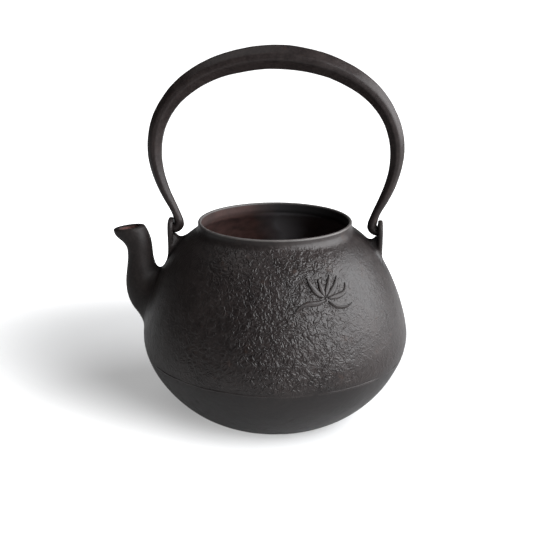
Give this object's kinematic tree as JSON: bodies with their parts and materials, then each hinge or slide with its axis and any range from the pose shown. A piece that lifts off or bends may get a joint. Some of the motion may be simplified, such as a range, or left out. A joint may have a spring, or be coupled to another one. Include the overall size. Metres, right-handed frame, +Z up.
{
  "type": "cast iron kettle",
  "caption": "Round cast iron kettle with an open mouth, a goose-neck spout, two lugs on the shoulder, and a tall arched bail handle that swings in the lugs.",
  "frame": {"origin": "centre of the flat base", "axes": "+Z up through the mouth; the spout points along -X; the bail turns about X; the two lugs lie on the X axis"},
  "size_m": [0.2048, 0.185, 0.253],
  "materials": {
    "vessel_iron": "dark brown-black cast skin, fine orange-peel texture, satin; rusty red-brown inside the mouth",
    "spout_iron": "dark brown-black cast skin, smoother than the body, satin; rust in the mouth of the spout",
    "lug_iron": "dark brown-black cast skin, smooth, satin",
    "bail_iron": "dark brown-grey forged iron, smooth, satin, slightly worn along the ridge"
  },
  "bodies": {
    "kettle": {"vessel": "vessel_iron", "spout": "spout_iron", "spout_lug": "lug_iron", "rear_lug": "lug_iron"},
    "bail": {"handle": "bail_iron"}
  },
  "joints": [
    {"name": "handle_swing", "type": "hinge", "parent": "kettle", "child": "bail", "pos_m": [0, 0, 0.1302], "axis": [1, 0, 0], "range_deg": [-115, 115]}
  ]
}
